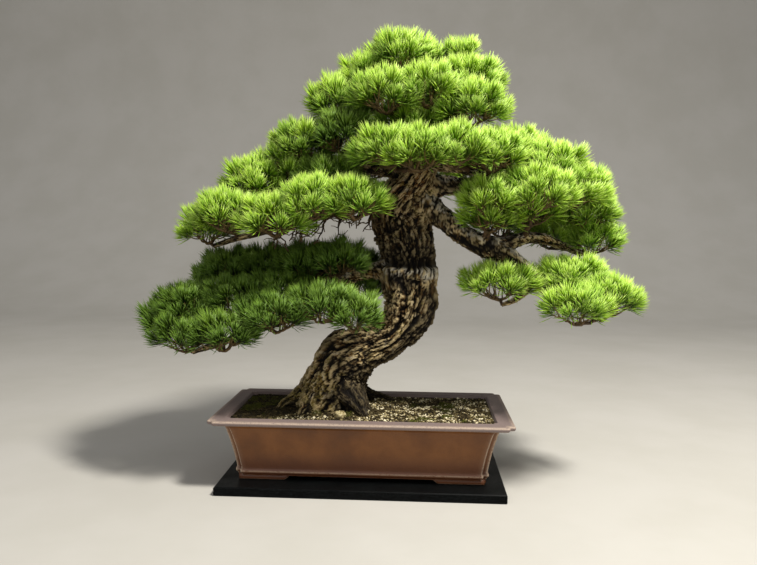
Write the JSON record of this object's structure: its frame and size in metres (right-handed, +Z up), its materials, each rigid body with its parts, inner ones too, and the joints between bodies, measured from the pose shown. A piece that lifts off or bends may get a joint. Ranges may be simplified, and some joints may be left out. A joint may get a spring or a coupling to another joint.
{
  "type": "bonsai pine tree in a pot",
  "caption": "Old trained pine with a leaning plated trunk and tiers of needle sprays, in a shallow rectangular clay pot with notched corners on a low dark board.",
  "frame": {"origin": "middle of the display board's underside", "axes": "+X along the pot to the viewer's right, -Y to the front, +Z up"},
  "size_m": [1.0336, 0.5719, 0.9273],
  "materials": {
    "bark": "rough plated bark, brown with grey-white patches on the upper sides",
    "needles": "satin green needles, yellow-green where lit",
    "soil": "matt granules with thin moss",
    "clay": "unglazed, satin, darker and redder towards the foot",
    "board": "near black, satin",
    "screen": "matt dark netting"
  },
  "bodies": {
    "root": {"display_board": "board", "drain_screen_left": "screen", "drain_screen_right": "screen", "pot": "clay", "soil": "soil", "spray_back_far": "needles", "spray_back_high": "needles", "spray_back_left": "needles", "spray_back_right": "needles", "spray_crown_back": "needles", "spray_crown_back_right": "needles", "spray_crown_front": "needles", "spray_crown_left": "needles", "spray_crown_left_high": "needles", "spray_crown_middle": "needles", "spray_crown_peak": "needles", "spray_crown_right_high": "needles", "spray_crown_right_low": "needles", "spray_crown_top": "needles", "spray_front_far_right": "needles", "spray_front_left": "needles", "spray_front_middle": "needles", "spray_front_right": "needles", "spray_left_back": "needles", "spray_left_front": "needles", "spray_left_high": "needles", "spray_left_inner": "needles", "spray_left_low": "needles", "spray_left_near": "needles", "spray_left_slope": "needles", "spray_left_tip": "needles", "spray_low_front": "needles", "spray_low_inner": "needles", "spray_low_middle": "needles", "spray_low_tip": "needles", "spray_lower_deep": "needles", "spray_lower_fore": "needles", "spray_lower_front": "needles", "spray_lower_high": "needles", "spray_lower_inner": "needles", "spray_lower_last": "needles", "spray_lower_middle": "needles", "spray_lower_near_trunk": "needles", "spray_lower_slope": "needles", "spray_lower_tip": "needles", "spray_lower_tip_high": "needles", "spray_lower_tip_low": "needles", "spray_lower_under": "needles", "spray_right_back": "needles", "spray_right_front": "needles", "spray_right_high": "needles", "spray_right_inner": "needles", "spray_right_middle": "needles", "spray_right_tip": "needles", "spray_rising_inner": "needles", "spray_rising_middle": "needles", "spray_rising_tip": "needles", "spray_shaded_left": "needles", "spray_shaded_low": "needles", "trunk": "bark"}
  },
  "joints": []
}
